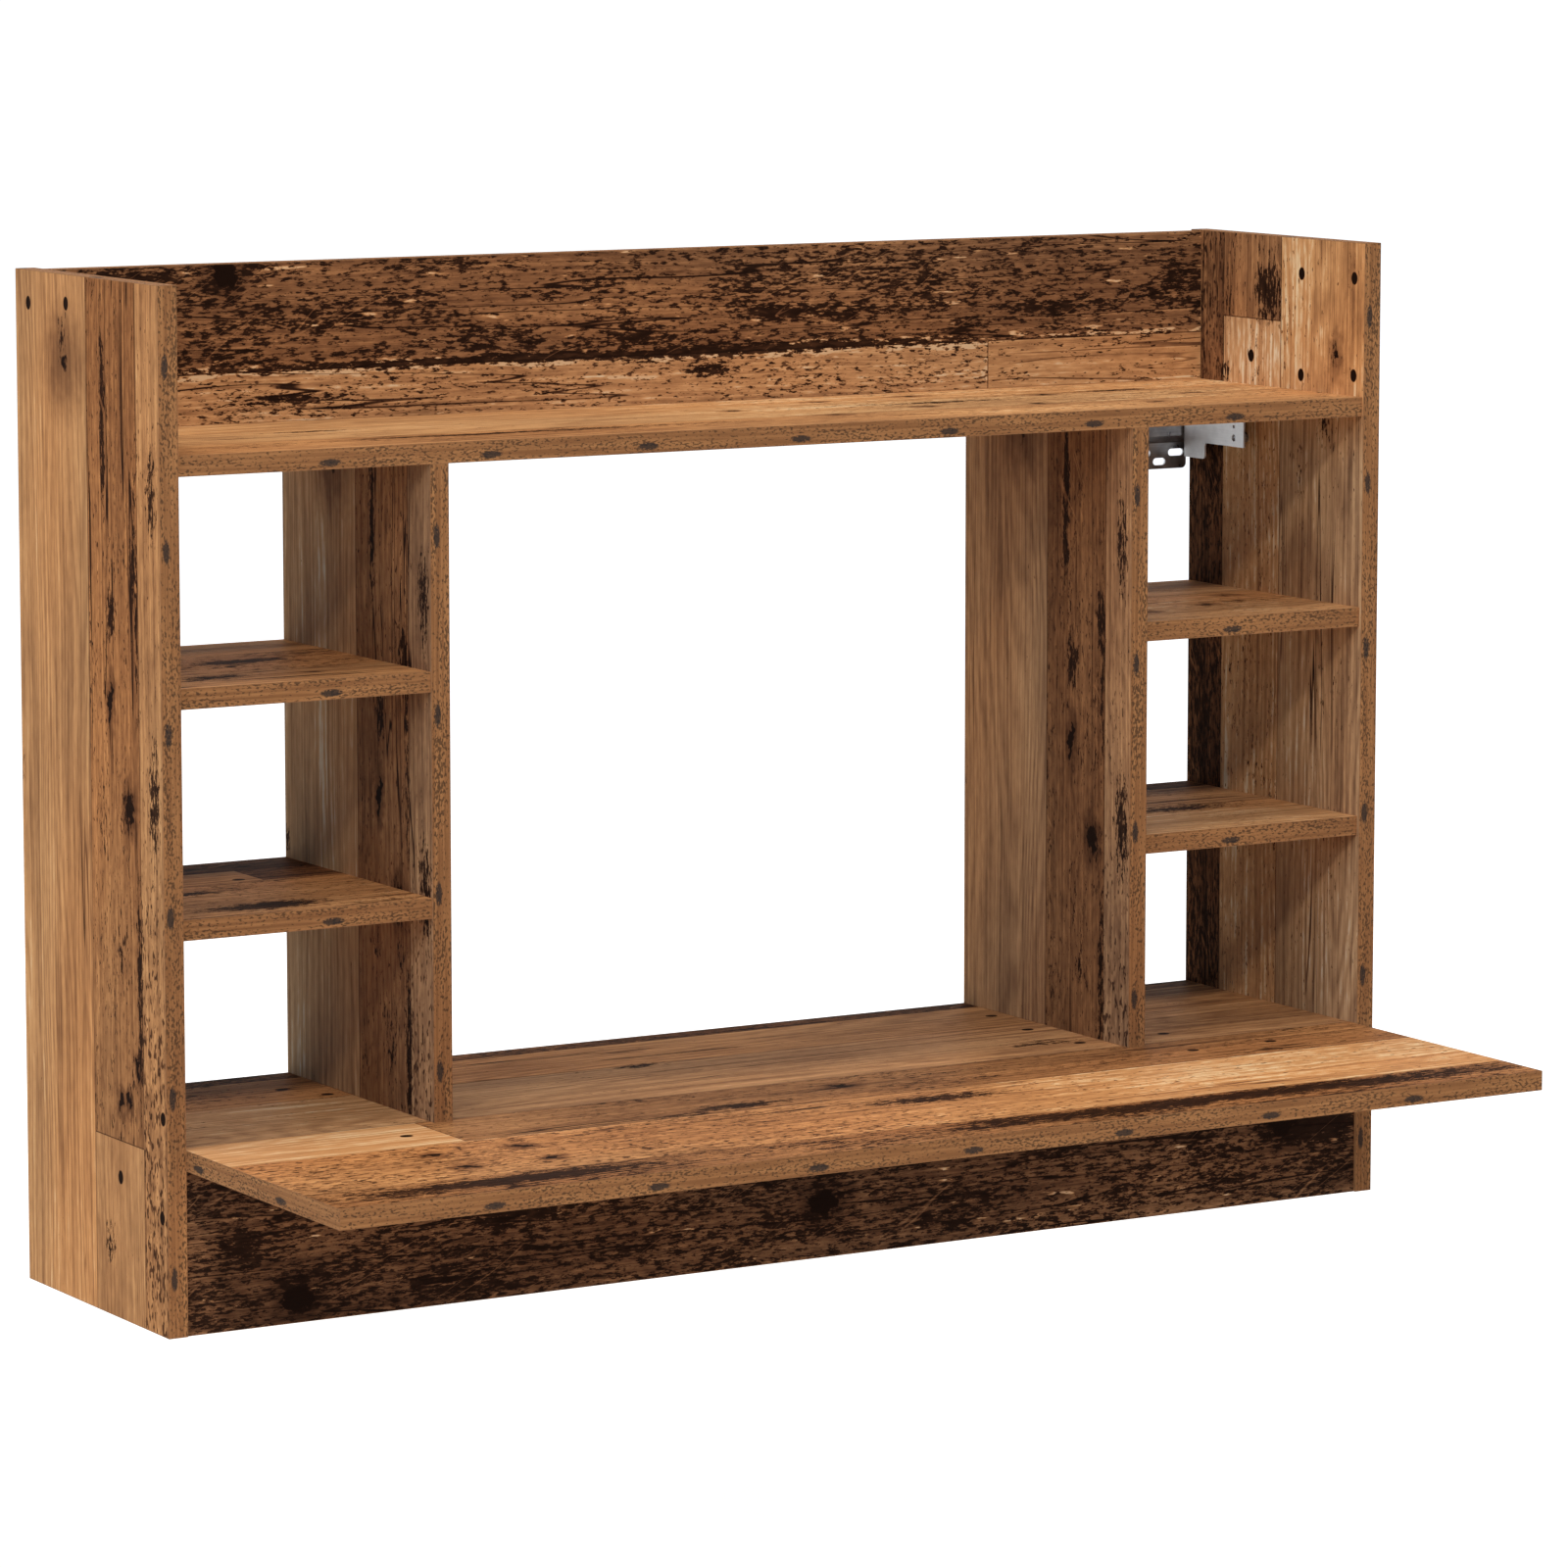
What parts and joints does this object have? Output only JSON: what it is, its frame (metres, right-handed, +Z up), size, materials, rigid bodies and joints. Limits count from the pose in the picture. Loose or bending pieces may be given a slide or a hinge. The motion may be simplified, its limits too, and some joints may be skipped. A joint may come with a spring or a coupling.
{
  "type": "wall-mounted desk",
  "caption": "Shallow board desk that hangs on a wall: open bays beside a knee space, a tray on top and a fixed desktop, on adjustable cabinet hangers.",
  "frame": {"origin": "on the wall, midway between the lower slots of the two wall plates", "axes": "+X to the right seen from the front, +Y into the wall, +Z up; the front faces -Y"},
  "size_m": [1.05, 0.48, 0.75],
  "materials": {
    "laminate": "old-wood laminate, matte",
    "beech": "plain",
    "housing_steel": "matte light grey",
    "zinc_steel": "zinc-plated",
    "die_cast_zinc": "as cast"
  },
  "bodies": {
    "cabinet": {"left_side_panel": "laminate", "right_side_panel": "laminate", "top_shelf": "laminate", "upper_back_panel": "laminate", "desktop": "laminate", "front_apron": "laminate", "left_divider": "laminate", "right_divider": "laminate", "left_lower_shelf": "laminate", "left_upper_shelf": "laminate", "right_lower_shelf": "laminate", "right_upper_shelf": "laminate", "wooden_dowels": "beech", "cam_bolts": "zinc_steel", "cam_locks": "die_cast_zinc", "divider_screws": "zinc_steel", "left_hanger_housing": "housing_steel", "left_hanger_posts": "housing_steel", "right_hanger_housing": "housing_steel", "right_hanger_posts": "housing_steel"},
    "left_carriage": {"left_hanger_carriage": "die_cast_zinc"},
    "left_hook": {"left_hanger_hook": "zinc_steel", "left_wall_plate": "zinc_steel"},
    "left_depth_screw": {"left_depth_screw": "zinc_steel"},
    "left_height_screw": {"left_height_screw": "zinc_steel"},
    "right_carriage": {"right_hanger_carriage": "die_cast_zinc"},
    "right_hook": {"right_hanger_hook": "zinc_steel", "right_wall_plate": "zinc_steel"},
    "right_depth_screw": {"right_depth_screw": "zinc_steel"},
    "right_height_screw": {"right_height_screw": "zinc_steel"}
  },
  "joints": [
    {"name": "left_depth_slide", "type": "slide", "parent": "cabinet", "child": "left_carriage", "axis": [0, 1, 0], "range_m": [0, 0.01]},
    {"name": "left_height_slide", "type": "slide", "parent": "left_carriage", "child": "left_hook", "axis": [0, 0, 1], "range_m": [-0.005, 0.005]},
    {"name": "left_depth_screw_turn", "type": "hinge", "parent": "cabinet", "child": "left_depth_screw", "pos_m": [-0.5061, -0.08, 0.039], "axis": [0, 1, 0], "range_deg": [-5144, 0]},
    {"name": "left_height_screw_turn", "type": "hinge", "parent": "left_carriage", "child": "left_height_screw", "pos_m": [-0.5061, -0.05, 0.03], "axis": [0, 0, 1], "range_deg": [-2573, 2573]},
    {"name": "right_depth_slide", "type": "slide", "parent": "cabinet", "child": "right_carriage", "axis": [0, 1, 0], "range_m": [0, 0.01]},
    {"name": "right_height_slide", "type": "slide", "parent": "right_carriage", "child": "right_hook", "axis": [0, 0, 1], "range_m": [-0.005, 0.005]},
    {"name": "right_depth_screw_turn", "type": "hinge", "parent": "cabinet", "child": "right_depth_screw", "pos_m": [0.5061, -0.08, 0.039], "axis": [0, 1, 0], "range_deg": [-5144, 0]},
    {"name": "right_height_screw_turn", "type": "hinge", "parent": "right_carriage", "child": "right_height_screw", "pos_m": [0.5061, -0.05, 0.03], "axis": [0, 0, 1], "range_deg": [-2573, 2573]}
  ],
  "couplings": [
    {"joint": "left_depth_screw_turn", "follows": "left_depth_slide", "rad_per_m": -8976},
    {"joint": "left_height_screw_turn", "follows": "left_height_slide", "rad_per_m": -8976},
    {"joint": "right_depth_screw_turn", "follows": "right_depth_slide", "rad_per_m": -8976},
    {"joint": "right_height_screw_turn", "follows": "right_height_slide", "rad_per_m": -8976}
  ]
}
